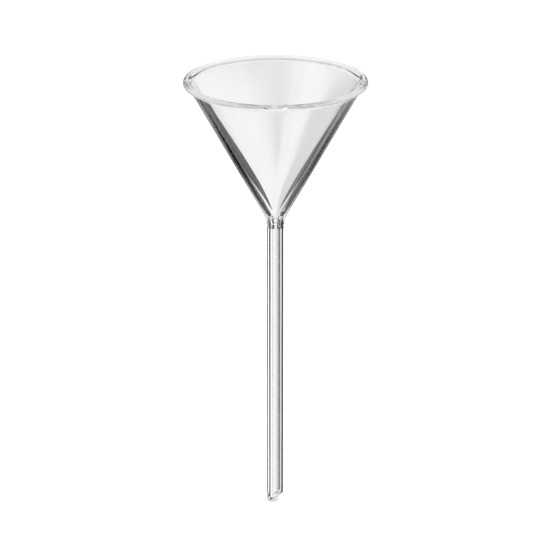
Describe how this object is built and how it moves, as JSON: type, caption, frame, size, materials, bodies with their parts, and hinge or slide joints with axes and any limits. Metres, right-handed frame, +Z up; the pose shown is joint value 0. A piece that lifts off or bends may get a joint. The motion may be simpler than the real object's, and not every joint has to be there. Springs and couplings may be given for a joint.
{
  "type": "filter funnel",
  "caption": "Clear glass laboratory filter funnel: a 58 degree cone with a rolled bead rim, sealed to a long thick-walled stem with a slant-cut tip.",
  "frame": {"origin": "on the funnel's axis, at the height where the cone's outside diameter is 50 mm, which is the plane in which a 50 mm support ring carries it", "axes": "+Z up along the axis towards the mouth; the slanted tip is longest on the -X side"},
  "size_m": [0.09, 0.09, 0.2214],
  "materials": {
    "rim_glass": "clear, fire-polished rolled bead with faint tool marks",
    "bowl_glass": "clear, smooth blown wall with very slight waviness",
    "seal_glass": "clear, flame-worked seal with soft ripples",
    "stem_glass": "clear drawn tube with fine draw lines and a fire-polished slanted tip"
  },
  "bodies": {
    "root": {"rim_bead": "rim_glass", "cone_bowl": "bowl_glass", "neck_seal": "seal_glass", "stem_tube": "stem_glass"}
  },
  "joints": []
}
